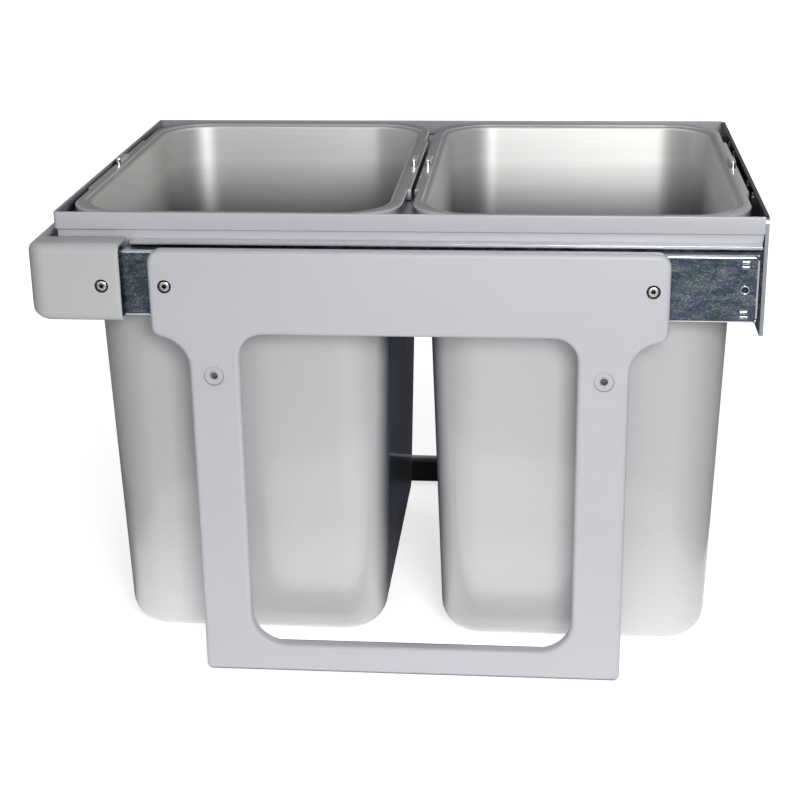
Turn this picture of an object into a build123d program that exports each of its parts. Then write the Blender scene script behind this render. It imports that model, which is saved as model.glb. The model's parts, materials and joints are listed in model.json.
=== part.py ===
from build123d import *
import os

# Built-in waste bin: two lift-out bins hang in a frame that rolls out of a base cabinet.
# +X is the way the frame travels, towards the cabinet front, where the door plate is.
# +Y is to the right of someone who stands at the open front and looks in, and +Z is up.
# The origin is on the cabinet floor, under the middle of the whole unit.
# One side of the unit is modelled and the other is its mirror image in the XZ plane.
# All sizes are in millimetres.

# Whole unit: its length follows from the slides
unit_width = 364.0
frame_top_z = 330.0
running_gap = 0.3
screw_clearance = 0.1
least_radius = 0.4
cut_margin = 1.0

# Side brackets, moulded, screwed flat to the cabinet walls
bracket_thickness = 8.0
bracket_wall = 2.6
bracket_edge_radius = 3.0
bracket_over_axis = 24.5
bracket_cover_gap = 18.8
bracket_front_gap = 56.2
bracket_bar_corner = 9.0
bar_overhang = 24.4
bar_depth = 57.5
shoulder_slope = 8.0
shoulder_outer_radius = 7.0
shoulder_inner_radius = 22.0
leg_width = 34.0
foot_corner = 4.5
window_top_radius = 16.0
window_bottom_radius = 24.0
foot_rail_height = 21.3
rib_thickness = 2.0
rib_pitch = 34.0
boss_wall = 4.2
wall_hole_inset = 16.6
wall_hole_drop = 29.0
wall_hole_radius = 2.5
wall_pad_radius = 6.75
wall_pad_depth = 1.0
rail_screw_inset = 11.0

# Black strip that closes the open back of each foot rail
strip_thickness = 4.6
strip_top_gap = 2.1
strip_low_gap = 0.3
strip_end_gap = 5.6

# Button-head socket screws
screw_head_radius = 3.7
screw_head_height = 2.2
screw_head_crown = 1.2
screw_shank_radius = 2.0
screw_socket_radius = 1.7
screw_socket_depth = 1.7
screw_seat_radius = 4.6
screw_sink = 0.2

# Ball slides, three members a side
slide_length = 450.0
slide_height = 45.0
slide_thickness = 12.7
slide_axis_drop = 45.0
slide_front_gap = 3.8
slide_rear_gap = 29.7
slide_sheet = 1.2
slide_corner_radius = 1.9
slide_inner_radius = 0.7
member_gap = 1.0
outer_tip_gap = 1.6
outer_lip = 1.5
middle_tip_gap = 0.7
middle_lip = 1.2
outer_ball_radius = 2.0
inner_ball_radius = 1.5
ball_clearance = 0.05
ball_hole_clearance = 0.15
outer_ball_depth = 6.0
inner_ball_depth = 7.0
ball_count = 8
ball_pitch = 26.0
cage_sheet = 0.5
cage_arm = 0.8
outer_cage_reach = 7.3
inner_cage_reach = 5.6
cage_end_allowance = 10.0
front_hole_setback = 8.6
front_hole_radius = 2.3
front_hole_lip = 0.7
front_hole_rise = 0.5
lance_offset = 16.7
lance_length = 5.8
lance_width = 2.4
lance_height = 1.1
lance_edge = 0.9
lance_slot = 0.8
front_corner_cut = 3.6
middle_hole_radius = 3.2
middle_hole_pitch = 128.0
middle_hole_count = 3

# Rear cover, a moulded channel that joins the slides behind the bins
cover_length = 62.7
cover_over_axis = 28.0
cover_shell = 2.2
cover_plan_radius = 12.0
cover_low_radius = 14.0
cover_edge_radius = 6.0
cover_end_radius = 2.4
cover_arm_depth = 21.5
cover_back_depth = 8.5
cover_screw_inset = 12.4

# Bin frame, one profile round the rear and both sides
frame_wall = 2.0
frame_rear_gap = 15.0
upper_band = 12.0
lower_band = 22.0
shelf_width = 10.0
frame_corner_radius = 3.0
band_front_gap = 3.8

# Cross bar between the bins
cross_bar_width = 17.0
cross_bar_lip = 9.0
cross_bar_tab = 8.0
cross_bar_rivet_pitch = 9.4

# Carrier angles, which hang the frame on the moving slide members
carrier_sheet = 1.8
carrier_ledge = 8.7
carrier_over_slide = 2.7
carrier_below_axis = 17.0
carrier_rear_gap = 5.0
carrier_tab_width = 20.0
carrier_screw_pitch = 130.0
carrier_screw_count = 3
tab_rivet_pitch = 12.8
nut_width = 7.0
nut_height = 2.8
thread_clearance = 0.05
frame_rivet_radius = 2.0
frame_rivet_end = 26.0
frame_rivet_count = 4
frame_rivet_head_radius = 3.2
frame_rivet_head = 0.8

# Door plate, zinc-plated steel
plate_thickness = 2.5
plate_below_axis = 35.5
plate_corner_radius = 4.5
plate_low_radius = 1.5
door_hole_radius = 2.2
door_hole_spacing = 172.0
door_inner_spacing = 100.0
door_top_inset = 4.9
door_low_inset = 12.5
eyelet_radius = 3.5
eyelet_height = 1.0

# Lift-out bins, tapered, hung by a flanged rim
bin_wall = 2.0
bin_draft = 1.7
bin_floor_z = 5.0
bin_gap = 2.5
rim_rear_gap = 1.2
rim_front_gap = 2.6
rim_side_gap = 3.8
rim_drop = 1.5
rim_sheet = 2.0
rim_width = 10.0
rim_skirt_wall = 2.0
rim_corner_radius = 35.0
rim_edge_radius = 1.2
rim_step = 2.2
rim_step_width = 164.0
bin_mouth_radius = 38.0
bin_floor_radius = 20.0

# Ears on each rim end, each with a steel pin at the side that faces -Y
ear_width = 20.0
ear_shift = 3.0
ear_depth = 4.4
ear_inset = 1.8
ear_height = 4.2
ear_crown = 2.0
ear_slot = 0.9
ear_slot_depth = 1.6
ear_slot_pitch = 7.0
pin_radius = 1.8
pin_height = 5.8
pin_crown = 1.5

# Places that follow from the sizes
bracket_face_y = -unit_width / 2
slide_face_y = bracket_face_y + bracket_thickness
frame_side_y = slide_face_y + slide_thickness
unit_length = slide_rear_gap + slide_length + slide_front_gap + plate_thickness
unit_rear_x = -unit_length / 2
unit_front_x = unit_length / 2
plate_inner_x = unit_front_x - plate_thickness
slide_front_x = plate_inner_x - slide_front_gap
slide_rear_x = slide_front_x - slide_length
slide_centre_x = (slide_front_x + slide_rear_x) / 2
slide_axis_z = frame_top_z - slide_axis_drop
cover_front_x = unit_rear_x + cover_length
bracket_rear_x = cover_front_x + bracket_cover_gap
bracket_front_x = slide_front_x - bracket_front_gap
bracket_x = (bracket_rear_x + bracket_front_x) / 2
bracket_bar_length = bracket_front_x - bracket_rear_x
leg_span = bracket_bar_length - 2 * bar_overhang
bracket_top_z = slide_axis_z + bracket_over_axis
bar_low_z = bracket_top_z - bar_depth
wall_hole_z = bar_low_z - wall_hole_drop
cover_bottom_z = slide_axis_z - slide_height / 2 - running_gap - cover_shell
cover_top_z = slide_axis_z + cover_over_axis
cover_screw_x = cover_front_x - cover_screw_inset
frame_rear_x = unit_rear_x + frame_rear_gap
shelf_top_z = frame_top_z - upper_band + frame_wall
shelf_bottom_z = shelf_top_z - frame_wall
carrier_rear_x = cover_front_x + carrier_rear_gap
carrier_low_z = slide_axis_z - carrier_below_axis
carrier_ledge_z = slide_axis_z + slide_height / 2 + carrier_over_slide
plate_bottom_z = slide_axis_z - plate_below_axis
mouth_half_y = -(frame_side_y + frame_wall + rim_side_gap + rim_width)
bins_rear_x = frame_rear_x + frame_wall + rim_rear_gap
bins_front_x = plate_inner_x - rim_front_gap
bin_length = (bins_front_x - bins_rear_x - bin_gap) / 2
bin_centres = {"rear": bins_rear_x + bin_length / 2, "front": bins_front_x - bin_length / 2}
rim_top_z = frame_top_z - rim_drop


os.makedirs("parts", exist_ok=True)


def span_box(x0, x1, y0, y1, z0, z1):
    """A box between two corners."""
    centre = Pos((x0 + x1) / 2, (y0 + y1) / 2, (z0 + z1) / 2)
    return centre * Box(x1 - x0, y1 - y0, z1 - z0)


def rod_y(x, z, y0, y1, radius):
    """A round bar along Y."""
    return Pos(x, (y0 + y1) / 2, z) * Rot(90, 0, 0) * Cylinder(radius, abs(y1 - y0))


def rod_x(y, z, x0, x1, radius):
    """A round bar along X."""
    return Pos((x0 + x1) / 2, y, z) * Rot(0, 90, 0) * Cylinder(radius, abs(x1 - x0))


def rod_z(x, y, z0, z1, radius):
    """A round bar along Z."""
    return Pos(x, y, (z0 + z1) / 2) * Cylinder(radius, abs(z1 - z0))


def row(middle, pitch, count):
    """Evenly spaced places about a middle."""
    return [middle + (i - (count - 1) / 2) * pitch for i in range(count)]


def rounded_face(points, radii):
    """A closed outline with one radius for each corner."""
    return make_face(FilletPolyline(*points, radius=radii, close=True))


def mirrored(part):
    """The same piece on the other side of the unit."""
    return mirror(part, about=Plane.XZ)


def write(name, *solids):
    """One STEP file for a node: a single piece, or a group of identical fasteners."""
    shape = solids[0] if len(solids) == 1 else Compound(children=list(solids))
    shape.label = name
    export_step(shape, "parts/" + name + ".step")


def socket_screw(length):
    """A button-head screw along +Z with its head's top at Z = 0."""
    head = Pos(0, 0, screw_head_height / 2) * Cylinder(screw_head_radius, screw_head_height)
    head = fillet(head.edges().group_by(Axis.Z)[0], screw_head_crown)
    shank_length = length - screw_head_height
    shank = Pos(0, 0, screw_head_height + shank_length / 2) * Cylinder(screw_shank_radius, shank_length)
    socket = extrude(RegularPolygon(screw_socket_radius, 6), screw_socket_depth)
    return head + shank - socket


# Side bracket

def bracket_outline():
    """The bracket seen from the side, about its own middle: a bar over two legs."""
    half_bar = bracket_bar_length / 2
    half_leg = leg_span / 2
    right = [
        (half_bar, bracket_top_z),
        (half_bar, bar_low_z),
        (half_leg, bar_low_z - shoulder_slope),
        (half_leg, 0),
    ]
    left = [(-x, z) for x, z in reversed(right)]
    radii = [bracket_bar_corner, shoulder_outer_radius, shoulder_inner_radius, foot_corner]
    return rounded_face(right + left, radii + radii[::-1])


def window_outline():
    """The opening between the legs, from the foot rail up to the bar."""
    half = leg_span / 2 - leg_width
    points = [
        (half, bar_low_z),
        (half, foot_rail_height),
        (-half, foot_rail_height),
        (-half, bar_low_z),
    ]
    radii = [window_top_radius, window_bottom_radius, window_bottom_radius, window_top_radius]
    return rounded_face(points, radii)


def on_bracket(face, depth):
    """A solid from an X-Z outline, from the bracket's outer face inwards."""
    placed = Pos(bracket_x, bracket_face_y, 0) * (Plane.XZ * face)
    return extrude(placed, -depth)


rail_screw_xs = row(bracket_x, bracket_bar_length - 2 * rail_screw_inset, 2)
wall_hole_xs = row(bracket_x, leg_span - 2 * wall_hole_inset, 2)


def side_bracket():
    """A smooth skin with a rim, ribs and screw bosses on the side that faces the bins."""
    body = on_bracket(bracket_outline(), bracket_thickness)
    body -= on_bracket(window_outline(), bracket_thickness)
    body = fillet(body.faces().sort_by(Axis.Y)[0].edges(), bracket_edge_radius)
    inner = on_bracket(offset(bracket_outline(), -bracket_wall), bracket_thickness)
    rim = on_bracket(offset(window_outline(), bracket_wall), bracket_thickness)
    skin_y = bracket_face_y + bracket_wall
    skin = span_box(unit_rear_x, unit_front_x, bracket_face_y - cut_margin, skin_y, -cut_margin, frame_top_z)
    pocket = inner - rim - skin
    boss_radius = screw_seat_radius + boss_wall
    for x in rail_screw_xs:
        pocket -= rod_y(x, slide_axis_z, bracket_face_y, slide_face_y, boss_radius)
    for x in wall_hole_xs:
        pocket -= rod_y(x, wall_hole_z, bracket_face_y, slide_face_y, boss_radius)
    leg_ribs = int((bar_low_z - shoulder_slope - foot_rail_height) // rib_pitch)
    for i in range(leg_ribs):
        z = foot_rail_height + (i + 0.5) * rib_pitch
        pocket -= span_box(unit_rear_x, unit_front_x, skin_y, slide_face_y, z, z + rib_thickness)
    bar_ribs = int(bracket_bar_length // (2 * rib_pitch))
    for i in range(-bar_ribs, bar_ribs + 1):
        x = bracket_x + i * rib_pitch
        pocket -= span_box(x, x + rib_thickness, skin_y, slide_face_y, 0, frame_top_z)
    body -= pocket
    seat_depth = screw_sink + screw_head_height
    for x in rail_screw_xs:
        body -= rod_y(x, slide_axis_z, bracket_face_y, bracket_face_y + seat_depth, screw_seat_radius)
        hole_radius = screw_shank_radius + screw_clearance
        body -= rod_y(x, slide_axis_z, bracket_face_y, slide_face_y, hole_radius)
    for x in wall_hole_xs:
        body -= rod_y(x, wall_hole_z, bracket_face_y, bracket_face_y + wall_pad_depth, wall_pad_radius)
        body -= rod_y(x, wall_hole_z, bracket_face_y, slide_face_y, wall_hole_radius)
    return body


bracket = side_bracket()
write("side_bracket_left", bracket)
write("side_bracket_right", mirrored(bracket))

strip_half = leg_span / 2 - leg_width - strip_end_gap
strip = span_box(
    bracket_x - strip_half, bracket_x + strip_half,
    slide_face_y, slide_face_y + strip_thickness,
    strip_low_gap, foot_rail_height - strip_top_gap,
)
write("foot_rail_strip_left", strip)
write("foot_rail_strip_right", mirrored(strip))

# Screws from the outside through each bracket into the fixed slide member
rail_screw_length = bracket_thickness - screw_sink + slide_sheet
rail_screws = []
for x in rail_screw_xs:
    seat = Pos(x, bracket_face_y + screw_sink, slide_axis_z) * Rot(-90, 0, 0)
    rail_screws.append(seat * socket_screw(rail_screw_length))
rail_screws += [mirrored(s) for s in rail_screws]
write("bracket_screws", *rail_screws)


# Slide members: channels in the Y-Z plane, drawn by depth from the slide's outer face

def lipped_channel(depth, reach, half, lip):
    """A C profile of slide sheet, open inwards, with short lips at its open side."""
    t = slide_sheet
    tip = depth + reach
    lower = [
        (depth, -half),
        (tip, -half),
        (tip, -half + t + lip),
        (tip - t, -half + t + lip),
        (tip - t, -half + t),
        (depth + t, -half + t),
    ]
    upper = [(d, -v) for d, v in reversed(lower)]
    radii = [slide_corner_radius, slide_corner_radius, 0.0, 0.0, least_radius, slide_inner_radius]
    return rounded_face(lower + upper, radii + radii[::-1])


def plain_channel(depth, reach, half):
    """A C profile without lips, open to the outside of the unit."""
    t = slide_sheet
    web = depth + reach
    lower = [
        (web, -half),
        (depth, -half),
        (depth, -half + t),
        (web - t, -half + t),
    ]
    upper = [(d, -v) for d, v in reversed(lower)]
    radii = [slide_corner_radius, 0.0, 0.0, slide_inner_radius]
    return rounded_face(lower + upper, radii + radii[::-1])


def along_slide(face):
    """A slide member of full length from its profile."""
    placed = Pos(slide_rear_x, slide_face_y, slide_axis_z) * (Plane.YZ * face)
    return extrude(placed, slide_length)


middle_depth = slide_sheet + member_gap
inner_depth = middle_depth + slide_sheet + member_gap
outer_half = slide_height / 2
outer_race = 2 * (outer_ball_radius + ball_clearance)
middle_half = outer_half - slide_sheet - outer_race
inner_race = 2 * (inner_ball_radius + ball_clearance)
inner_half = middle_half - slide_sheet - inner_race

outer_flange = slide_thickness - outer_tip_gap
outer_member = along_slide(lipped_channel(0, outer_flange, outer_half, outer_lip))
web_y = slide_face_y + slide_sheet
for x in rail_screw_xs + [cover_screw_x]:
    outer_member -= rod_y(x, slide_axis_z, slide_face_y, web_y, screw_shank_radius + screw_clearance)
front_hole_x = slide_front_x - front_hole_setback
hole_lip_y = slide_face_y - front_hole_rise
outer_member += rod_y(front_hole_x, slide_axis_z, hole_lip_y, web_y, front_hole_radius + front_hole_lip)
outer_member -= rod_y(front_hole_x, slide_axis_z, hole_lip_y, web_y, front_hole_radius)

# Pairs of lances beside the front hole, pressed out of the web above and below a slot
lance_x0 = front_hole_x - lance_length / 2
lance_x1 = front_hole_x + lance_length / 2
for side in (-1, 1):
    pair_z = slide_axis_z + side * lance_offset
    for lance_z in row(pair_z, lance_width + lance_slot, 2):
        low = lance_z - lance_width / 2
        high = lance_z + lance_width / 2
        lance = span_box(lance_x0, lance_x1, slide_face_y - lance_height, slide_face_y, low, high)
        outer_member += fillet(lance.faces().sort_by(Axis.Y)[0].edges(), lance_edge)
    slot_low = pair_z - lance_slot / 2
    outer_member -= span_box(lance_x0, lance_x1, slide_face_y, web_y, slot_low, slot_low + lance_slot)
for side in (-1, 1):
    corner = Pos(slide_front_x, web_y, slide_axis_z + side * outer_half) * Rot(0, 45, 0)
    outer_member -= corner * Box(front_corner_cut * 2 ** 0.5, 2 * slide_sheet, front_corner_cut * 2 ** 0.5)
write("fixed_rail_left", outer_member)
write("fixed_rail_right", mirrored(outer_member))

middle_flange = slide_thickness - slide_sheet - middle_tip_gap - middle_depth
middle_member = along_slide(lipped_channel(middle_depth, middle_flange, middle_half, middle_lip))
middle_face_y = slide_face_y + middle_depth
for x in row(slide_centre_x, middle_hole_pitch, middle_hole_count):
    middle_member -= rod_y(x, slide_axis_z, middle_face_y, middle_face_y + slide_sheet, middle_hole_radius)
write("middle_rail_left", middle_member)
write("middle_rail_right", mirrored(middle_member))

# Screws that hold the moving member to the carrier angle
carrier_screw_xs = row(slide_centre_x, carrier_screw_pitch, carrier_screw_count)
inner_member = along_slide(plain_channel(inner_depth, slide_thickness - inner_depth, inner_half))
for x in carrier_screw_xs:
    hole_radius = screw_shank_radius + screw_clearance
    inner_member -= rod_y(x, slide_axis_z, frame_side_y - slide_sheet, frame_side_y, hole_radius)
write("moving_rail_left", inner_member)
write("moving_rail_right", mirrored(inner_member))

# Ball cages: a strip with an arm above and below that holds a row of balls each
cage_length = slide_length / 2 - cage_end_allowance
cage_x0 = slide_centre_x - cage_length / 2
cage_x1 = slide_centre_x + cage_length / 2
ball_xs = row(slide_centre_x, ball_pitch, ball_count)


def ball_cage(depth, reach, row_offset, ball_depth, ball_radius):
    """A cage and its two rows of balls; depths run inwards from the slide's outer face."""
    y0 = slide_face_y + depth
    top = row_offset + cage_arm / 2
    cage = span_box(cage_x0, cage_x1, y0, y0 + cage_sheet, slide_axis_z - top, slide_axis_z + top)
    balls = []
    for side in (-1, 1):
        row_z = slide_axis_z + side * row_offset
        cage += span_box(cage_x0, cage_x1, y0, y0 + reach, row_z - cage_arm / 2, row_z + cage_arm / 2)
        for x in ball_xs:
            ball_y = slide_face_y + ball_depth
            hole_radius = ball_radius + ball_hole_clearance
            cage -= rod_z(x, ball_y, row_z - cage_arm, row_z + cage_arm, hole_radius)
            balls.append(Pos(x, ball_y, row_z) * Sphere(ball_radius))
    return cage, balls


cage_gap = (member_gap - cage_sheet) / 2
outer_row = middle_half + outer_race / 2
inner_row = inner_half + inner_race / 2
outer_cage, outer_balls = ball_cage(
    slide_sheet + cage_gap, outer_cage_reach, outer_row, outer_ball_depth, outer_ball_radius)
inner_cage, inner_balls = ball_cage(
    middle_depth + slide_sheet + cage_gap, inner_cage_reach, inner_row, inner_ball_depth, inner_ball_radius)
write("outer_cage_left", outer_cage)
write("outer_cage_right", mirrored(outer_cage))
write("inner_cage_left", inner_cage)
write("inner_cage_right", mirrored(inner_cage))
write("outer_balls_left", *outer_balls)
write("outer_balls_right", *[mirrored(b) for b in outer_balls])
write("inner_balls_left", *inner_balls)
write("inner_balls_right", *[mirrored(b) for b in inner_balls])


# Rear cover: the common part of a side view and a plan, hollowed from inside

def cover_block(inset, x_front):
    """The cover's outer shape, or its inner one at the depth of its shell."""
    rear = unit_rear_x + inset
    low = cover_bottom_z + inset
    high = cover_top_z - inset
    half = unit_width / 2 - inset
    low_radius = cover_low_radius - inset
    plan_radius = cover_plan_radius - inset
    edge_radius = max(cover_edge_radius - inset, least_radius)
    end_radius = max(cover_end_radius - inset, least_radius)
    past = x_front + 2 * cover_edge_radius
    above = high + 2 * cover_edge_radius
    side_points = [(rear, low), (past, low), (past, above), (rear, above)]
    side = rounded_face(side_points, [low_radius, 0.0, 0.0, 0.0])
    side_solid = extrude(Pos(0, half, 0) * (Plane.XZ * side), 2 * half)
    side_faces = side_solid.faces().sort_by(Axis.Y)
    side_solid = fillet(side_faces[0].edges() + side_faces[-1].edges(), edge_radius)
    plan_points = [(rear, -half), (past, -half), (past, half), (rear, half)]
    plan = rounded_face(plan_points, [plan_radius, 0.0, 0.0, plan_radius])
    plan_solid = extrude(Pos(0, 0, low) * plan, high - low)
    plan_solid = fillet(plan_solid.faces().sort_by(Axis.Z)[-1].edges(), edge_radius)
    end_points = [(rear, -half), (x_front, -half), (x_front, half), (rear, half)]
    ends = rounded_face(end_points, [0.0, end_radius, end_radius, 0.0])
    return side_solid & plan_solid & extrude(Pos(0, 0, low) * ends, high - low)


rear_cover = cover_block(0, cover_front_x) - cover_block(cover_shell, cover_front_x + cover_shell)
inner_edge_y = unit_width / 2 - cover_arm_depth
rear_cover -= span_box(
    unit_rear_x + cover_back_depth, cover_front_x + cut_margin,
    -inner_edge_y, inner_edge_y,
    cover_bottom_z - cut_margin, cover_top_z + cut_margin,
)
boss_radius = screw_seat_radius + boss_wall / 2
boss = rod_y(cover_screw_x, slide_axis_z, bracket_face_y + cover_shell / 2, slide_face_y, boss_radius)
seat_depth = screw_sink + screw_head_height
boss_holes = rod_y(cover_screw_x, slide_axis_z, bracket_face_y, bracket_face_y + seat_depth, screw_seat_radius)
boss_holes += rod_y(
    cover_screw_x, slide_axis_z, bracket_face_y, slide_face_y, screw_shank_radius + screw_clearance)
rear_cover += boss
rear_cover += mirrored(boss)
rear_cover -= boss_holes
rear_cover -= mirrored(boss_holes)
write("rear_cover", rear_cover)

cover_screw = Pos(cover_screw_x, bracket_face_y + screw_sink, slide_axis_z) * Rot(-90, 0, 0)
cover_screw = cover_screw * socket_screw(rail_screw_length)
write("cover_screws", cover_screw, mirrored(cover_screw))


# Bin frame: an upper band, a shelf the bins hang on, and a set-back lower band

def plan_face(inset, x_front, radius):
    """The frame's plan, with two round corners at the rear."""
    rear = frame_rear_x + inset
    half = -frame_side_y - inset
    points = [(x_front, -half), (rear, -half), (rear, half), (x_front, half)]
    return rounded_face(points, [0.0, radius, radius, 0.0])


def band(inset, x_front, z0, z1):
    """A U in plan, open to the front, one wall thick."""
    radius = max(frame_corner_radius - inset, least_radius)
    inner_radius = max(radius - frame_wall, least_radius)
    outer = plan_face(inset, x_front, radius)
    inner = plan_face(inset + frame_wall, x_front + cut_margin, inner_radius)
    return extrude(Pos(0, 0, z0) * (outer - inner), z1 - z0)


shelf_inset = frame_wall + shelf_width
shelf_front_x = plate_inner_x - shelf_inset
shelf = extrude(Pos(0, 0, shelf_bottom_z) * plan_face(0, plate_inner_x, frame_corner_radius), frame_wall)
shelf_edge_y = -frame_side_y - shelf_inset
shelf -= span_box(
    frame_rear_x + shelf_inset, shelf_front_x, -shelf_edge_y, shelf_edge_y,
    shelf_bottom_z, shelf_top_z,
)
bin_frame = shelf + band(0, plate_inner_x, shelf_top_z, frame_top_z)
lower_front_x = plate_inner_x - band_front_gap
lower_low_z = shelf_bottom_z - lower_band
bin_frame += band(carrier_sheet, lower_front_x, lower_low_z, shelf_bottom_z)

# Rivets that join the lower band to the carrier angles, well above the slide's balls
lower_face_y = frame_side_y + carrier_sheet
rivet_z = (carrier_ledge_z + slide_axis_z + inner_half) / 2
frame_rivet_pitch = (lower_front_x - carrier_rear_x - 2 * frame_rivet_end) / (frame_rivet_count - 1)
frame_rivet_xs = row((carrier_rear_x + lower_front_x) / 2, frame_rivet_pitch, frame_rivet_count)
for x in frame_rivet_xs:
    hole = rod_y(x, rivet_z, lower_face_y, lower_face_y + frame_wall, frame_rivet_radius)
    bin_frame -= hole
    bin_frame -= mirrored(hole)

# Cross bar under the neighbouring rims of the two bins
bar_x = (bin_centres["rear"] + bin_centres["front"]) / 2
bar_half = cross_bar_width / 2
cross_bar = span_box(
    bar_x - bar_half, bar_x + bar_half, -shelf_edge_y, shelf_edge_y, shelf_bottom_z, shelf_top_z)
for side in (-1, 1):
    x = bar_x + side * (bar_half - frame_wall / 2)
    cross_bar += span_box(
        x - frame_wall / 2, x + frame_wall / 2, -shelf_edge_y, shelf_edge_y,
        shelf_bottom_z - cross_bar_lip, shelf_bottom_z,
    )
tab_end_y = shelf_edge_y + cross_bar_tab
tab = span_box(
    bar_x - bar_half, bar_x + bar_half, shelf_edge_y - cross_bar_tab, tab_end_y,
    shelf_bottom_z - frame_wall, shelf_bottom_z,
)
cross_bar += tab
cross_bar += mirrored(tab)
bar_rivets = []
for side in (-1, 1):
    x = bar_x + side * cross_bar_rivet_pitch / 2
    y = shelf_edge_y + cross_bar_tab / 2
    hole = rod_z(x, y, shelf_bottom_z - frame_wall, shelf_top_z, frame_rivet_radius)
    for cut in (hole, mirrored(hole)):
        cross_bar -= cut
        bin_frame -= cut
    head_z = shelf_top_z + frame_rivet_head
    rivet = hole + rod_z(x, y, shelf_top_z, head_z, frame_rivet_head_radius)
    tail_z = shelf_bottom_z - frame_wall
    rivet += rod_z(x, y, tail_z - frame_rivet_head, tail_z, frame_rivet_head_radius)
    bar_rivets += [rivet, mirrored(rivet)]
write("bin_frame", bin_frame)
write("cross_bar", cross_bar)
write("cross_bar_rivets", *bar_rivets)

# Carrier angles: a web on the moving slide member, a ledge over the slide, a tab at the door plate
web_inner_y = frame_side_y + carrier_sheet
web_front_x = plate_inner_x - carrier_sheet
ledge_top_z = carrier_ledge_z + carrier_sheet
carrier = span_box(carrier_rear_x, plate_inner_x, frame_side_y, web_inner_y, carrier_low_z, ledge_top_z)
carrier += span_box(
    carrier_rear_x, web_front_x, web_inner_y - carrier_ledge, web_inner_y,
    carrier_ledge_z, ledge_top_z,
)
tab_top_z = lower_low_z - running_gap
carrier += span_box(
    web_front_x, plate_inner_x, frame_side_y, web_inner_y + carrier_tab_width,
    carrier_low_z, tab_top_z,
)
for x in carrier_screw_xs:
    hole_radius = screw_shank_radius + screw_clearance
    carrier -= rod_y(x, slide_axis_z, frame_side_y, web_inner_y, hole_radius)
for x in frame_rivet_xs:
    carrier -= rod_y(x, rivet_z, frame_side_y, web_inner_y, frame_rivet_radius)

tab_rivet_y = web_inner_y + carrier_tab_width / 2
tab_rivet_zs = row((carrier_low_z + tab_top_z) / 2, tab_rivet_pitch, 2)
plate_rivets = []
for z in tab_rivet_zs:
    stem = rod_x(tab_rivet_y, z, web_front_x, unit_front_x, frame_rivet_radius)
    carrier -= stem
    head = rod_x(tab_rivet_y, z, web_front_x - frame_rivet_head, web_front_x, frame_rivet_head_radius)
    plate_rivets.append(stem + head)
plate_rivets += [mirrored(r) for r in plate_rivets]
write("carrier_angle_left", carrier)
write("carrier_angle_right", mirrored(carrier))
write("plate_rivets", *plate_rivets)

frame_rivets = []
for x in frame_rivet_xs:
    inner_y = lower_face_y + frame_wall
    stem = rod_y(x, rivet_z, frame_side_y, inner_y, frame_rivet_radius)
    tail = rod_y(x, rivet_z, inner_y, inner_y + frame_rivet_head, frame_rivet_head_radius)
    frame_rivets.append(stem + tail)
frame_rivets += [mirrored(r) for r in frame_rivets]
write("frame_rivets", *frame_rivets)

# Screw and nut pairs through the moving member and the carrier web
carrier_screws = []
carrier_nuts = []
screw_length = screw_head_height + slide_sheet + carrier_sheet + nut_height
for x in carrier_screw_xs:
    seat = Pos(x, frame_side_y - slide_sheet - screw_head_height, slide_axis_z) * Rot(-90, 0, 0)
    carrier_screws.append(seat * socket_screw(screw_length))
    nut = extrude(RegularPolygon(nut_width / 2, 6, major_radius=False), nut_height)
    nut -= Cylinder(screw_shank_radius + thread_clearance, 3 * nut_height)
    carrier_nuts.append(Pos(x, web_inner_y, slide_axis_z) * Rot(-90, 0, 0) * nut)
carrier_screws += [mirrored(s) for s in carrier_screws]
carrier_nuts += [mirrored(n) for n in carrier_nuts]
write("carrier_screws", *carrier_screws)
write("carrier_nuts", *carrier_nuts)

# Door plate with flanged eyelets for the door screws
plate_points = [
    (frame_side_y, plate_bottom_z),
    (-frame_side_y, plate_bottom_z),
    (-frame_side_y, frame_top_z),
    (frame_side_y, frame_top_z),
]
plate_radii = [plate_low_radius, plate_low_radius, plate_corner_radius, plate_corner_radius]
plate_face = Plane.YZ * rounded_face(plate_points, plate_radii)
door_plate = extrude(Pos(plate_inner_x, 0, 0) * plate_face, plate_thickness)
for y in (tab_rivet_y, -tab_rivet_y):
    for z in tab_rivet_zs:
        door_plate -= rod_x(y, z, plate_inner_x, unit_front_x, frame_rivet_radius)
door_top_z = frame_top_z - door_top_inset
door_low_z = plate_bottom_z + door_low_inset
upper_holes = [(y, door_top_z) for y in row(0, door_hole_spacing, 2) + row(0, door_inner_spacing, 2)]
lower_holes = [(y, door_low_z) for y in row(0, door_hole_spacing, 2)]
for y, z in upper_holes + lower_holes:
    door_plate -= rod_x(y, z, plate_inner_x, unit_front_x, door_hole_radius)
write("door_plate", door_plate)

eyelets = []
for y, z in upper_holes:
    ring = rod_x(y, z, plate_inner_x - eyelet_height, plate_inner_x, eyelet_radius)
    eyelets.append(ring - rod_x(y, z, plate_inner_x - eyelet_height, plate_inner_x, door_hole_radius))
write("door_eyelets", *eyelets)


# Bins: a tapered shell with a flanged rim whose ends step out in the middle

def rim_outline(shrink):
    """A rim in plan, whose two ends step out over the middle part of its width."""
    width = 2 * (mouth_half_y + rim_width - shrink)
    narrow = bin_length - 2 * rim_step - 2 * shrink
    wide = bin_length - 2 * shrink
    corner = rim_corner_radius - shrink
    return RectangleRounded(narrow, width, corner) + Rectangle(wide, rim_step_width - 2 * shrink)


mouth_length = bin_length - 2 * rim_step - 2 * rim_width
mouth_width = 2 * mouth_half_y
bin_height = rim_top_z - bin_floor_z


def tapered(shrink, height, floor_radius):
    """A draughted block hanging from the rim, its mouth at Z = 0."""
    mouth = RectangleRounded(
        mouth_length + 2 * shrink, mouth_width + 2 * shrink, bin_mouth_radius + shrink)
    block = extrude(mouth, -height, taper=bin_draft)
    return fillet(block.faces().sort_by(Axis.Z)[0].edges(), floor_radius)


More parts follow.
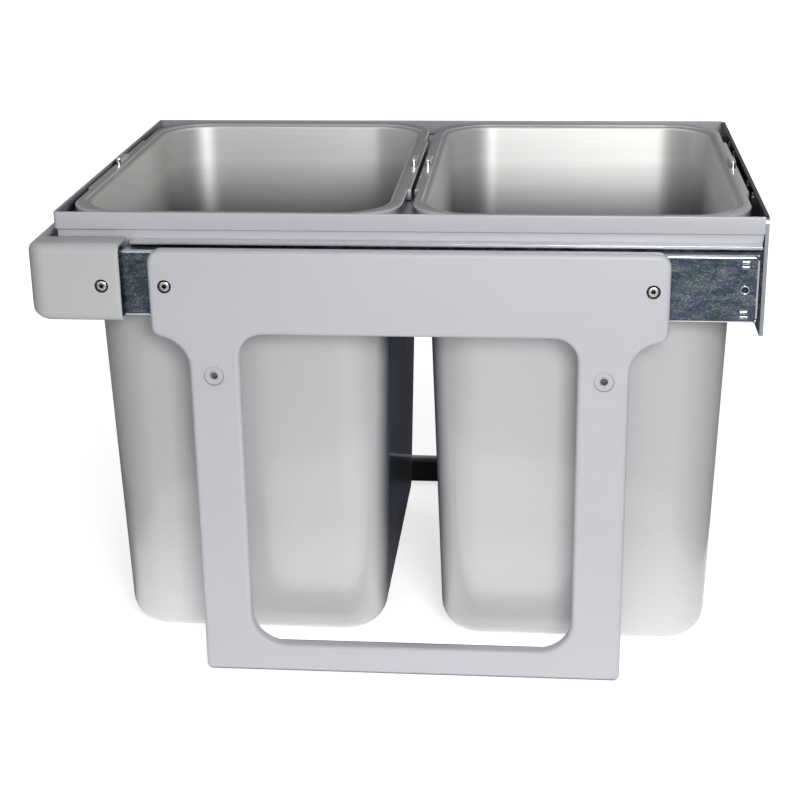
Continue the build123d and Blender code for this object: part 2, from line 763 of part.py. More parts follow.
def waste_bin():
    """One bin and its two ear pins, with the rim's top at Z = 0."""
    outside = tapered(bin_wall, bin_height, bin_floor_radius)
    inside = tapered(0, bin_height - bin_wall, bin_floor_radius - bin_wall)
    rim = extrude(rim_outline(0), -rim_sheet)
    rim = fillet(rim.faces().sort_by(Axis.Z)[-1].edges(), rim_edge_radius)
    skirt_depth = rim_top_z - shelf_top_z - running_gap
    skirt_face = rim_outline(0) - rim_outline(rim_skirt_wall)
    skirt = extrude(Pos(0, 0, -rim_sheet) * skirt_face, -(skirt_depth - rim_sheet))
    shell = rim + skirt + outside - inside
    reach = mouth_length / 2 + cut_margin
    mouth = [e for e in shell.edges().group_by(Axis.Z)[-1] if abs(e.center().X) < reach]
    mouth = [e for e in mouth if abs(e.center().Y) < mouth_half_y + cut_margin]
    shell = fillet(mouth, rim_edge_radius)
    pins = []
    for side in (-1, 1):
        outer = side * (bin_length / 2 - ear_inset)
        ear_x = outer - side * ear_depth / 2
        ear = span_box(
            ear_x - ear_depth / 2, ear_x + ear_depth / 2,
            ear_shift - ear_width / 2, ear_shift + ear_width / 2, -rim_sheet / 2, ear_height,
        )
        ear = fillet(ear.edges().filter_by(Axis.X).group_by(Axis.Z)[-1], ear_crown)
        shell += ear
        for y in row(ear_shift, ear_slot_pitch, 2):
            shell -= Pos(ear_x, y, ear_height) * Box(2 * ear_depth, ear_slot, 2 * ear_slot_depth)
        pin_y = ear_shift - ear_width / 2 - pin_radius
        pin = rod_z(ear_x, pin_y, -rim_sheet, pin_height, pin_radius)
        shell -= pin
        pins.append(fillet(pin.edges().group_by(Axis.Z)[-1], pin_crown))
    return shell, pins


shell, ear_pins = waste_bin()
for name, x in bin_centres.items():
    place = Pos(x, 0, rim_top_z)
    write("waste_bin_" + name, place * shell)
    write("ear_pins_" + name, *[place * p for p in ear_pins])
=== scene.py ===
# %% [markdown]
# # A pull-out waste bin, dressed for its picture
# The object is a kitchen cabinet fitting. Two silver-grey bins hang by their rims in a painted frame,
# the frame rolls on a pair of ball slides, and two moulded side brackets hold the slides.
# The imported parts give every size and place. This script adds the surfaces that the eye reads:
# the bins' rolled rims and brushed insides, the frame's folded profile, plating, paint and moulding grain.

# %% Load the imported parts
import json
import math

import bpy
import numpy as np
from mathutils import Matrix, Vector

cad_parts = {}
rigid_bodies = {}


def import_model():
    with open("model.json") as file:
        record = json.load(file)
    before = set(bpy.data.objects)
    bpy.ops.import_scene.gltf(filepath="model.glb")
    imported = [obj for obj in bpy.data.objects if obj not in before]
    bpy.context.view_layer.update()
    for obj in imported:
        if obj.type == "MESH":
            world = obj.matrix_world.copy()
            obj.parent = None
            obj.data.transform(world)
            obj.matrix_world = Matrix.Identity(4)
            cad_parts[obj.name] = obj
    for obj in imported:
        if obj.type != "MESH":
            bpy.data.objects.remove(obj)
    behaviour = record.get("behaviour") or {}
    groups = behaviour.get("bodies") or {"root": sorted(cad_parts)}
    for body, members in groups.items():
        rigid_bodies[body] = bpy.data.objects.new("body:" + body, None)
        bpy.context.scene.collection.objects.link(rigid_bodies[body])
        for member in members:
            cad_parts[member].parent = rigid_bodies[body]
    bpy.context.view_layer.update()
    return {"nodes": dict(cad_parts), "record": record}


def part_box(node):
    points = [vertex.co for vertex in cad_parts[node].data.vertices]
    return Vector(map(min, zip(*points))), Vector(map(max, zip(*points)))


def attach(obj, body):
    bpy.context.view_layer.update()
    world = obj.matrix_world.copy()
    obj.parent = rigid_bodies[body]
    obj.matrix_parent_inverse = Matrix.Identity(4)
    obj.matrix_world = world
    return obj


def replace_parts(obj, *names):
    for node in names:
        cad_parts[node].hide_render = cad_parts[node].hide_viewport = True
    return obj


for leftover in list(bpy.data.objects):
    bpy.data.objects.remove(leftover)
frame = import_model()

# %% [markdown]
# ## Camera
# The photograph was taken from a little above the bins and in front of the left side bracket, turned
# slightly to the left. A camera placed by eye never fits all edges at once, so its place, heading, downward
# pitch and slight roll were worked out from the straight edges of the bracket, the frame and the slide.
# The lens is the focal length in picture widths times the width of the camera's sensor.

# %% Set the camera
MM = 0.001
IMAGE_WIDTH = 800
FOCAL_PIXELS = 1681.4
SENSOR_WIDTH = 36.0
camera_place = Vector((104.2, -1229.6, 596.6)) * MM
camera_heading = math.radians(5.424)
camera_pitch = math.radians(20.252)
camera_roll = math.radians(-0.888)

camera_data = bpy.data.cameras.new("camera")
camera_data.sensor_width = SENSOR_WIDTH
camera_data.lens = SENSOR_WIDTH * FOCAL_PIXELS / IMAGE_WIDTH
camera = bpy.data.objects.new("camera", camera_data)
bpy.context.scene.collection.objects.link(camera)
turn = Matrix.Rotation(camera_heading, 4, "Z")
tilt = Matrix.Rotation(math.pi / 2 - camera_pitch, 4, "X")
roll = Matrix.Rotation(camera_roll, 4, "Z")
camera.matrix_world = Matrix.Translation(camera_place) @ turn @ tilt @ roll
bpy.context.scene.camera = camera
print("lens in mm:", round(camera_data.lens, 1))

# %% [markdown]
# ## Studio
# The object stands on a plain pale floor. The main light is a soft square lamp close by in front, a little
# to the right and a little above the rims, so that the brackets throw only narrow shadows on the bins.
# A wide weak lamp in front and one high behind fill the rest. The camera sees a white room. More lamps could
# light the back, but a world shader knows each ray's direction and kind, so it does that without new
# highlights. Its soft light is a little stronger from behind, where no lamp stands low. What gloss mirrors
# is brighter in front. Both fade upwards. A narrow dark card straight behind the object shows in
# reflections only, and keeps the gap between the bins dark.

# %% World
scene = bpy.context.scene
scene.view_settings.view_transform = "Standard"
SOFT_LEVELS = (0.36, 0.52)
MIRROR_LEVELS = (0.90, 0.55)
SIDE_BLEND = 0.4
CARD_TURN = -0.12
CARD_EDGE = (0.16, 0.24)
CARD_LEVEL = 0.10
HORIZON, ZENITH = 0.06, 0.50
ZENITH_SHARE = 0.45

world = bpy.data.worlds.new("studio")
scene.world = world
world.use_nodes = True
world_tree = world.node_tree
world_tree.nodes.clear()


def world_node(kind, *inputs):
    """A node of the world whose first sockets are linked, or filled where a number is given."""
    made = world_tree.nodes.new(kind)
    for socket, value in zip(made.inputs, inputs):
        if isinstance(value, bpy.types.NodeSocket):
            world_tree.links.new(value, socket)
        else:
            socket.default_value = value
    return made


def world_span(value, low, high, to_low, to_high):
    """Carries a range of values over to another range."""
    return world_node("ShaderNodeMapRange", value, low, high, to_low, to_high).outputs[0]


def world_math(operation, *values):
    """One operation on sockets or numbers."""
    made = world_node("ShaderNodeMath", *values)
    made.operation = operation
    return made.outputs[0]


sky_way = world_node("ShaderNodeTexCoord").outputs["Generated"]
sky_split = world_node("ShaderNodeSeparateXYZ", sky_way).outputs
sky_path = world_node("ShaderNodeLightPath").outputs
soft_side = world_span(sky_split["Y"], -SIDE_BLEND, SIDE_BLEND, *SOFT_LEVELS)
mirror_side = world_span(sky_split["Y"], -SIDE_BLEND, SIDE_BLEND, *MIRROR_LEVELS)
card_away = world_math("ABSOLUTE", world_math("SUBTRACT", sky_split["X"], CARD_TURN))
card_away = world_math("SUBTRACT", card_away, world_math("MINIMUM", sky_split["Y"], 0.0))
mirror_side = world_span(card_away, *CARD_EDGE, CARD_LEVEL, mirror_side)
sky_side = world_span(sky_path["Is Glossy Ray"], 0.0, 1.0, soft_side, mirror_side)
sky_height = world_span(sky_split["Z"], HORIZON, ZENITH, 1.0, ZENITH_SHARE)
room_light = world_math("MULTIPLY", sky_side, sky_height)
seen_sky = world_math("MAXIMUM", sky_path["Is Camera Ray"], sky_path["Is Transmission Ray"])
sky_strength = world_span(seen_sky, 0.0, 1.0, room_light, 1.0)
sky_light = world_node("ShaderNodeBackground", (1.0, 1.0, 1.0, 1.0), sky_strength)
world_node("ShaderNodeOutputWorld", sky_light.outputs[0])
print("world made, front and back levels:", SOFT_LEVELS, MIRROR_LEVELS)


# %% Lamps
def lamp(name, place, size, watts, aim=(0, 0, 0.2)):
    """A square soft lamp at a place, turned towards a point of the object."""
    data = bpy.data.lights.new(name, "AREA")
    data.shape = "SQUARE"
    data.size = size
    data.energy = watts
    made = bpy.data.objects.new(name, data)
    scene.collection.objects.link(made)
    made.location = place
    made.rotation_euler = (Vector(aim) - Vector(place)).to_track_quat("-Z", "Y").to_euler()
    made.visible_camera = False
    return made


lamps = [
    lamp("main_lamp", place=(0.30, -1.14, 0.66), size=0.34, watts=9.2),
    lamp("front_lamp", place=(-0.10, -2.20, 0.90), size=1.6, watts=6),
    lamp("back_lamp", place=(-0.20, 0.80, 2.00), size=1.0, watts=5.5),
]
print("lamps:", [made.name for made in lamps])

# %% [markdown]
# ## A short way to write a finish
# A material is a graph of nodes. The class below keeps the graph of one finish and has one short call for
# each kind of node, so that a finish reads as a recipe. Patterns read Object coordinates, which are the
# part's own metres, so a noise of scale 400 has grains of about 2.5 mm. A number that is the same all over
# the surface goes straight into the shader's own socket.

# %% The finish helper
class Finish:
    """One material's node graph, built up step by step."""

    def __init__(self, name, **constants):
        """Joins a shader to an output, and fills the shader's own sockets."""
        self.material = bpy.data.materials.new(name)
        self.material.use_nodes = True
        self.tree = self.material.node_tree
        self.tree.nodes.clear()
        self.shader = self.node("ShaderNodeBsdfPrincipled")
        self.output = self.node("ShaderNodeOutputMaterial")
        self.link(self.shader.outputs[0], self.output.inputs["Surface"])
        for socket, value in constants.items():
            self.shader.inputs[socket.replace("_", " ")].default_value = value

    def node(self, kind, **settings):
        """A new node with its settings, such as its operation."""
        made = self.tree.nodes.new(kind)
        for key, value in settings.items():
            setattr(made, key, value)
        return made

    def link(self, a, b):
        """Joins an output to an input."""
        self.tree.links.new(a, b)

    def feed(self, socket, value):
        """Puts a number, a colour or another node's output into a socket."""
        if isinstance(value, bpy.types.NodeSocket):
            self.link(value, socket)
        elif isinstance(value, tuple) and len(value) == 3 and len(socket.default_value) == 4:
            socket.default_value = (*value, 1)
        elif isinstance(value, float) and socket.type == "RGBA":
            socket.default_value = (value, value, value, 1)
        else:
            socket.default_value = value

    def place(self, stretch=(1, 1, 1), source="Object"):
        """Coordinates, stretched so that a pattern can run longer one way than another."""
        mapping = self.node("ShaderNodeMapping")
        self.link(self.node("ShaderNodeTexCoord").outputs[source], mapping.inputs["Vector"])
        mapping.inputs["Scale"].default_value = stretch
        return mapping.outputs[0]

    def noise(self, vector, scale, detail=3.0, roughness=0.55):
        """A cloudy pattern. Most of its values lie between 0.3 and 0.7."""
        made = self.node("ShaderNodeTexNoise")
        self.link(vector, made.inputs["Vector"])
        made.inputs["Scale"].default_value = scale
        made.inputs["Detail"].default_value = detail
        made.inputs["Roughness"].default_value = roughness
        return made.outputs[0]

    def span(self, value, low, high, to_low=0.0, to_high=1.0):
        """Carries a range of values over to another range, and stops at its ends."""
        made = self.node("ShaderNodeMapRange")
        for socket, number in zip(made.inputs[:5], (value, low, high, to_low, to_high)):
            self.feed(socket, number)
        return made.outputs[0]

    def calc(self, operation, a, b=0.0):
        """One operation on two values."""
        made = self.node("ShaderNodeMath", operation=operation)
        self.feed(made.inputs[0], a)
        self.feed(made.inputs[1], b)
        return made.outputs[0]

    def mix(self, factor, a, b, blend="MIX"):
        """Colour a where the factor is 0, and b blended over it where it is 1.

        The node has sockets for numbers and vectors too. Its colour inputs are 6 and 7, the output is 2.
        """
        made = self.node("ShaderNodeMix", data_type="RGBA", blend_type=blend)
        self.feed(made.inputs[0], factor)
        self.feed(made.inputs[6], a)
        self.feed(made.inputs[7], b)
        return made.outputs[2]

    def split(self, vector):
        """A vector's X, Y and Z."""
        made = self.node("ShaderNodeSeparateXYZ")
        self.link(vector, made.inputs[0])
        return made.outputs

    def normal_part(self, axis):
        """How far the surface faces along one of the part's axes, without its sign."""
        facing = self.split(self.node("ShaderNodeTexCoord").outputs["Normal"])
        return self.calc("ABSOLUTE", facing[axis])

    def side_distance(self):
        """How far a point lies from the part's upright middle plane, in metres."""
        return self.calc("ABSOLUTE", self.split(self.place())["Y"])

    def soft_edges(self, radius):
        """A normal that turns smoothly over a sharp edge."""
        made = self.node("ShaderNodeBevel", samples=6)
        made.inputs["Radius"].default_value = radius
        return made.outputs[0]

    def relief(self, height, distance, normal=None, strength=1.0):
        """A normal that tilts as a pattern rises and falls, up to a distance in metres."""
        made = self.node("ShaderNodeBump")
        made.inputs["Strength"].default_value = strength
        made.inputs["Distance"].default_value = distance
        self.link(height, made.inputs["Height"])
        if normal is not None:
            self.link(normal, made.inputs["Normal"])
        return made.outputs[0]

    def openness(self, distance, low=0.0, closed=0.0, opened=0.8):
        """From low in a recess narrower than the distance to 1 where the surface lies open."""
        shade = self.node("ShaderNodeAmbientOcclusion", samples=8)
        shade.inputs["Distance"].default_value = distance
        return self.span(shade.outputs["AO"], closed, opened, low, 1.0)

    # Painted shade: ambient occlusion darkens the colour in narrow recesses.
    def painted_corner_shade(self, colour, distance, depth, closed=0.0, opened=0.8):
        """A colour with painted shade: it darkens in narrow recesses, where shade falls."""
        return self.mix(1.0, colour, self.openness(distance, depth, closed, opened), "MULTIPLY")

    def finish(self, colour=None, roughness=None, normal=None):
        """Feeds the shader, and gives the finished material."""
        for name, value in (("Base Color", colour), ("Roughness", roughness), ("Normal", normal)):
            if value is not None:
                self.feed(self.shader.inputs[name], value)
        return self.material


def scaled(colour, share):
    """A colour made darker or lighter by a share."""
    return tuple(share * part for part in colour)


def dress(material, *names):
    """Gives CAD nodes their finish, in the slot they came with."""
    for name in names:
        frame["nodes"][name].material_slots[0].material = material
    print(material.name, "->", ", ".join(names))


# %% [markdown]
# ## Floor
# The floor is a wide sheet of pale paper. Its glow grows with the distance from the object until the paper
# merges with the white room, so that the object's shadow stays and the horizon doesn't show. A plain white
# plane would do for the shadow, but the bins are glossy and mirror what lies round them: a bright sheet
# below, grey further out, and a dark card at the back. These tones reach only the rays that leave the
# object, and the camera still sees plain paper.

# %% Floor
FLOOR_HALF = 9.0
floor_mesh = bpy.data.meshes.new("floor")
floor_corners = [(x * FLOOR_HALF, y * FLOOR_HALF, 0.0) for x, y in ((-1, -1), (1, -1), (1, 1), (-1, 1))]
floor_mesh.from_pydata(floor_corners, [], [(0, 1, 2, 3)])
floor = bpy.data.objects.new("floor", floor_mesh)
scene.collection.objects.link(floor)
print("floor side in m:", 2 * FLOOR_HALF)

# %% Where the sheet and the card lie
SHEET_CENTRE = (0.0, -0.13, 0.0)
SHEET_REACH = (0.33, 0.35)
CARD_FRONT = (-0.12, -0.08)
CARD_CENTRE_X = -0.15
CARD_SIDE = (0.28, 0.32)
paper = Finish("floor_paper", Roughness=0.9)
path = paper.node("ShaderNodeLightPath")
seen = paper.calc("MAXIMUM", path.outputs["Is Camera Ray"], path.outputs["Is Transmission Ray"])
away = paper.node("ShaderNodeVectorMath", operation="LENGTH")
paper.link(paper.place(), away.inputs[0])
sheet_away = paper.node("ShaderNodeVectorMath", operation="DISTANCE")
paper.link(paper.place(), sheet_away.inputs[0])
sheet_away.inputs[1].default_value = SHEET_CENTRE
sheet = paper.span(sheet_away.outputs["Value"], *SHEET_REACH, 1.0, 0.0)
floor_place = paper.split(paper.place())
behind = paper.span(floor_place["Y"], *CARD_FRONT)
across = paper.calc("ABSOLUTE", paper.calc("SUBTRACT", floor_place["X"], CARD_CENTRE_X))
card = paper.calc("MULTIPLY", behind, paper.span(across, *CARD_SIDE, 1.0, 0.0))
print("sheet radius and card width in m:", SHEET_REACH[0], 2 * CARD_SIDE[0])

# %% Paper seen and paper mirrored
NEAR_GLOW = 0.68
GLOW_REACH = (0.35, 1.1)
SHEET_BOUNCE = 0.48
OUTER_TONE = (0.42, 0.42, 0.42)
CARD_TONE = (0.090, 0.098, 0.130)
paper_tone = paper.mix(paper.noise(paper.place(), 14.0, 2.0), (0.80, 0.80, 0.80), (0.84, 0.84, 0.84))
hidden_tone = paper.mix(sheet, OUTER_TONE, paper_tone)
hidden_tone = paper.mix(card, hidden_tone, CARD_TONE)
paper.finish(colour=paper.mix(seen, hidden_tone, paper_tone))
open_sheet = paper.calc("MULTIPLY", sheet, paper.calc("SUBTRACT", 1.0, card))
bounce = paper.calc("MULTIPLY", open_sheet, SHEET_BOUNCE)
white = paper.span(away.outputs["Value"], *GLOW_REACH, NEAR_GLOW, 1.0)
glow = paper.node("ShaderNodeEmission")
paper.link(paper.span(seen, 0.0, 1.0, bounce, white), glow.inputs["Strength"])
lit = paper.node("ShaderNodeAddShader")
paper.link(paper.shader.outputs[0], lit.inputs[0])
paper.link(glow.outputs[0], lit.inputs[1])
paper.link(lit.outputs[0], paper.output.inputs["Surface"])
floor_mesh.materials.append(paper.material)
print("paper's glow near the object:", NEAR_GLOW)

# %% [markdown]
# ## Moulded parts
# The brackets and the rear cover are injection moulded in a pale lavender grey. Such a surface is even and
# satin, with a very fine grain from the mould, slow waves in its tone where the melt cooled unevenly, and
# edges that catch light. A flat grey would look like card. Grain cut into the mesh would take millions of
# faces, so it is a small relief in the shader, and a soft normal rounds the edges that the solid has sharp.

# %% Moulding finish
def moulded(name, low_tone, high_tone):
    """A satin moulding whose tone drifts slowly between two greys."""
    made = Finish(name, IOR=1.46)
    slow = made.noise(made.place((1, 1, 1.6)), 9.0, 2.0)
    fine = made.noise(made.place(), 900.0, 2.0)
    tone = made.mix(slow, low_tone, high_tone)
    tone = made.mix(made.span(fine, 0.3, 0.7, 0.0, 0.10), tone, scaled(low_tone, 0.88))
    # Painted shade: the moulding's tone darkens in narrow recesses.
    tone = made.painted_corner_shade(tone, 5.0 * MM, 0.02, 0.25, 0.75)
    grain = made.relief(fine, 0.02 * MM, made.soft_edges(0.5 * MM), 0.5)
    return made.finish(tone, made.span(slow, 0.3, 0.7, 0.38, 0.48), grain)


moulding = moulded("grey_moulding_finish", (0.476, 0.476, 0.514), (0.510, 0.510, 0.550))
dress(moulding, "side_bracket_left", "side_bracket_right")

cover_finish = moulded("cover_moulding_finish", (0.475, 0.480, 0.490), (0.510, 0.515, 0.525))
dress(cover_finish, "rear_cover")

# %% [markdown]
# ## Painted frame
# The frame and the cross bar are bent from sheet and painted the same grey. Paint lies smoother than a
# moulding, so it is a little glossier, with the shallow ripple that painters call orange peel. The faces
# that look inwards, towards the rims, are in shade, and that shade is painted into their colour as a darker
# blue-grey. Soft lamps alone leave such narrow faces too pale, so their tone follows the way they look:
# outwards or towards the middle. Narrow recesses get painted shade too.

# %% Frame paint
INNER_SHADE = (0.115, 0.130, 0.150)
SHADED_FACING = (-0.22, -0.02)
paint = Finish("frame_paint_finish", IOR=1.5)
peel = paint.noise(paint.place(), 260.0, 1.0)
cloud = paint.noise(paint.place((1, 4, 4)), 7.0, 2.0)
coat = paint.mix(cloud, (0.440, 0.442, 0.477), (0.477, 0.479, 0.514))
paint_place = paint.split(paint.place())
paint_facing = paint.split(paint.node("ShaderNodeTexCoord").outputs["Normal"])
outward = paint.calc("ADD", paint.calc("MULTIPLY", paint_place["X"], paint_facing["X"]),
                     paint.calc("MULTIPLY", paint_place["Y"], paint_facing["Y"]))
# Painted shade: faces that look towards the middle take the darker inner shade tone.
coat = paint.mix(paint.span(outward, *SHADED_FACING, 0.75, 0.0), coat, INNER_SHADE)
# Painted shade in narrow recesses.
coat = paint.painted_corner_shade(coat, 14.0 * MM, 0.0, 0.14, 0.48)
ripple = paint.relief(peel, 0.03 * MM, paint.soft_edges(0.4 * MM), 0.4)
paint.finish(coat, paint.span(cloud, 0.3, 0.7, 0.30, 0.38), ripple)
dress(paint.material, "cross_bar", "bin_frame")

# %% [markdown]
# ## Zinc-plated steel
# Plated sheet has a flat web with a dark, blue passivated film with teal, violet and grey clouds and small
# bright crystals. Its rolled and bent edges show bright, and that brightness is a painted highlight.
# A picture of plated sheet would repeat on parts this long, but layers of noise don't. One recipe makes the
# slides, the carrier angles and the door plate: clouds choose between film colours, faces that look along
# chosen axes and the slides' cut ends are painted bright as a painted highlight, and narrow recesses get
# painted shade.

# %% Plating
ALONG_X, ALONG_Y, ALONG_Z = 0, 1, 2
# The painted highlight on a cut end fades in over this length.
END_HIGHLIGHT_BLEND = 0.4 * MM


def plating(name, film, bright, crystal, edges, roughness, shade=7.0 * MM, end_x=None):
    """Plated steel: a clouded film, and a painted highlight where the surface faces along an edge axis.

    An edge is an axis, the facing at which the painted highlight starts and is full, and the distance from
    the part's middle plane beyond which it counts. Past end_x the cut end is painted bright too, as a
    painted highlight. Narrow recesses get painted shade.
    """
    zinc = Finish(name, Metallic=1.0)
    wide = zinc.noise(zinc.place((0.8, 1, 1.6)), 62.0, 3.0, 0.6)
    close = zinc.noise(zinc.place((0.6, 1, 1.3)), 170.0, 7.0, 0.80)
    rolled = zinc.noise(zinc.place((0.15, 1, 1.0)), 420.0, 5.0, 0.75)
    grain = zinc.noise(zinc.place((0.6, 1, 1.0)), 1300.0, 4.0, 0.85)
    speck = zinc.noise(zinc.place((0.8, 1, 1.2)), 1100.0, 3.0, 0.7)
    web = zinc.mix(zinc.span(wide, 0.32, 0.68), film[0], film[1])
    web = zinc.mix(zinc.span(close, 0.44, 0.68, 0.0, 0.75), web, film[2])
    web = zinc.mix(zinc.span(rolled, 0.48, 0.72, 0.0, 0.60), web, scaled(film[0], 0.35))
    web = zinc.mix(zinc.span(grain, 0.48, 0.62, 0.0, 0.60), web, scaled(film[1], 0.30))
    flecks = zinc.calc("MULTIPLY", zinc.span(speck, 0.55, 0.64), zinc.span(close, 0.40, 0.60, 0.15, 0.85))
    web = zinc.mix(flecks, web, crystal)
    # Painted highlight: faces that look along an edge axis take the bright tone.
    edge = 0.0
    for axis, low, high, beyond in edges:
        facing = zinc.span(zinc.normal_part(axis), low, high)
        facing = zinc.calc("MULTIPLY", facing, zinc.calc("GREATER_THAN", zinc.side_distance(), beyond))
        edge = zinc.calc("MAXIMUM", facing, edge)
    # Painted highlight on the cut end, past end_x.
    if end_x is not None:
        end_highlight = zinc.span(zinc.split(zinc.place())["X"], end_x, end_x + END_HIGHLIGHT_BLEND)
        edge = zinc.calc("MAXIMUM", end_highlight, edge)
    # Painted shade in narrow recesses, over the film and the painted highlight.
    skin = zinc.painted_corner_shade(zinc.mix(edge, web, bright), shade, 0.06)
    uneven = zinc.mix(edge, close, 0.5)
    rough = zinc.span(uneven, 0.3, 0.7, roughness - 0.06, roughness + 0.08)
    return zinc.finish(skin, rough, zinc.relief(uneven, 0.015 * MM, zinc.soft_edges(0.35 * MM), 0.25))


# %% Plated parts
# The painted highlight on the slides' front end starts this far back from it.
END_HIGHLIGHT_LENGTH = 1.2 * MM
slide_film = ((0.073, 0.140, 0.143), (0.113, 0.125, 0.220), (0.330, 0.342, 0.368))
# Painted highlight on faces that look up or down, on faces along X, and past the slides' cut front end.
slide_finish = plating("slide_zinc_finish", slide_film, (0.78, 0.78, 0.80), (0.55, 0.57, 0.60),
                       [(ALONG_Z, 0.15, 0.45, 0.0), (ALONG_X, 0.35, 0.70, 0.0)], 0.30,
                       end_x=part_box("fixed_rail_left")[1].x - END_HIGHLIGHT_LENGTH)
dress(slide_finish, "fixed_rail_left", "fixed_rail_right", "middle_rail_left", "middle_rail_right",
      "moving_rail_left", "moving_rail_right")

LEDGE_FROM = 165.5 * MM
carrier_film = ((0.035, 0.045, 0.060), (0.055, 0.060, 0.085), (0.110, 0.120, 0.140))
# Painted highlight on faces that look up or down, and on the ledge's outer face beyond LEDGE_FROM.
carrier_finish = plating("carrier_zinc_finish", carrier_film, (0.74, 0.74, 0.77), (0.30, 0.32, 0.34),
                         [(ALONG_Z, 0.15, 0.45, 0.0), (ALONG_Y, 0.40, 0.80, LEDGE_FROM)], 0.28, 2.0 * MM)
dress(carrier_finish, "carrier_angle_left", "carrier_angle_right")

plate_film = ((0.030, 0.040, 0.055), (0.050, 0.058, 0.085), (0.085, 0.098, 0.125))
# Painted highlight on the plate's faces along Y.
plate_finish = plating("plate_zinc_finish", plate_film, (0.42, 0.455, 0.50), (0.22, 0.25, 0.28),
                       [(ALONG_Y, 0.40, 0.80, 0.0)], 0.33)
dress(plate_finish, "door_plate")

# %% [markdown]
# ## Fasteners, balls and small trim
# Screws, rivets and pins are small and bright. Their heads show fine turning marks, and their sockets are
# painted dark as painted shade. The marks are finer than a mesh can hold, so a stretched noise gives them,
# and the finish is painted darker in narrow recesses, as painted shade. The foot strips are dull black, and
# the ball cages are a plain grey moulding that shows only when the slides are pulled out.

# %% Fastener finishes
def small_steel(name, colour, roughness, recess):
    """Bright turned steel, with painted shade: its narrow recesses keep only a share of the colour."""
    steel = Finish(name, Metallic=1.0)
    turned = steel.noise(steel.place((1, 0.2, 1)), 1500.0, 2.0)
    scuffed = steel.noise(steel.place(), 300.0, 3.0)
    tint = steel.mix(scuffed, colour, scaled(colour, 0.82))
    # Painted shade: narrow recesses, such as sockets, keep only a share of the colour.
    tint = steel.painted_corner_shade(tint, 5.0 * MM, recess, 0.45, 0.90)
    rough = steel.span(turned, 0.3, 0.7, roughness, roughness + 0.12)
    return steel.finish(tint, rough, steel.relief(turned, 0.01 * MM, steel.soft_edges(0.2 * MM), 0.3))


dress(small_steel("screw_steel_finish", (0.90, 0.89, 0.87), 0.22, 0.0),
      "bracket_screws", "cover_screws", "carrier_screws", "carrier_nuts")
dress(small_steel("rivet_steel_finish", (0.40, 0.43, 0.45), 0.30, 0.10),
      "door_eyelets", "frame_rivets", "plate_rivets", "cross_bar_rivets")
pin_finish = small_steel("pin_steel_finish", (0.88, 0.88, 0.90), 0.12, 0.50)
dress(pin_finish, "ear_pins_front", "ear_pins_rear")
dress(small_steel("ball_steel_finish", (0.80, 0.80, 0.81), 0.08, 0.60),
      "outer_balls_left", "outer_balls_right", "inner_balls_left", "inner_balls_right")

# %% Strip and cages
rubber = Finish("black_rubber_finish", IOR=1.5)
dust = rubber.noise(rubber.place((1, 1, 5)), 120.0, 4.0)
rubber.finish(rubber.mix(dust, (0.012, 0.013, 0.016), (0.030, 0.031, 0.034)),
              rubber.span(dust, 0.3, 0.7, 0.45, 0.65), rubber.relief(dust, 0.05 * MM, None, 0.4))
dress(rubber.material, "foot_rail_strip_left", "foot_rail_strip_right")

cage = Finish("cage_plastic_finish", IOR=1.48)
cage_flow = cage.noise(cage.place((0.3, 1, 1)), 160.0, 3.0)
cage.finish(cage.mix(cage_flow, (0.16, 0.17, 0.19), (0.22, 0.23, 0.25)),
            cage.span(cage_flow, 0.3, 0.7, 0.40, 0.55), cage.relief(cage_flow, 0.03 * MM, None, 0.4))
dress(cage.material, "outer_cage_left", "outer_cage_right", "inner_cage_left", "inner_cage_right")

# %% [markdown]
# ## Surfaces from formulas
# The bins and the frame are made again as smooth surfaces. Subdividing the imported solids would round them
# everywhere by the same amount, but a formula can keep each real radius. A ring of points is carried through
# a list of stations, the points are computed as whole arrays, and each pair of neighbouring rings is joined
# by a belt of four-sided faces. The first and last ring are closed by one face each.

# %% Faces of a surface
def joined_faces(rings):
    """Belts of four-sided faces between neighbouring rings, and one face on each end, all facing outwards.

    Also says whether the rings ran inside out, so that the faces had to be turned.
    """
    count, points = rings.shape[:2]
    here = np.arange(points)
    there = (here + 1) % points
    row = np.arange(count - 1)[:, None] * points
    quads = np.stack([row + here, row + there, row + points + there, row + points + here], axis=-1)
    quads = quads.reshape(-1, 4)
    caps = [here[::-1], (count - 1) * points + here]
    inside_out = signed_volume(rings, quads) < 0
    if inside_out:
        quads = quads[:, ::-1]
        caps = [cap[::-1] for cap in caps]
    return quads, caps, inside_out


def signed_volume(rings, quads):
    """Six times the volume that the faces enclose, less than 0 where they face inwards.

    Each face is two triangles, and each triangle adds the triple product of its corners, a cross b times c,
    measured from the middle of all points.
    """
    points = rings.reshape(-1, 3) - rings.reshape(-1, 3).mean(axis=0)
    a, b, c, d = (points[quads[:, i]] for i in range(4))
    return float((np.cross(a, b) * c).sum() + (np.cross(a, c) * d).sum())


# %% UV map and piece
SHARP_ANGLE = 38


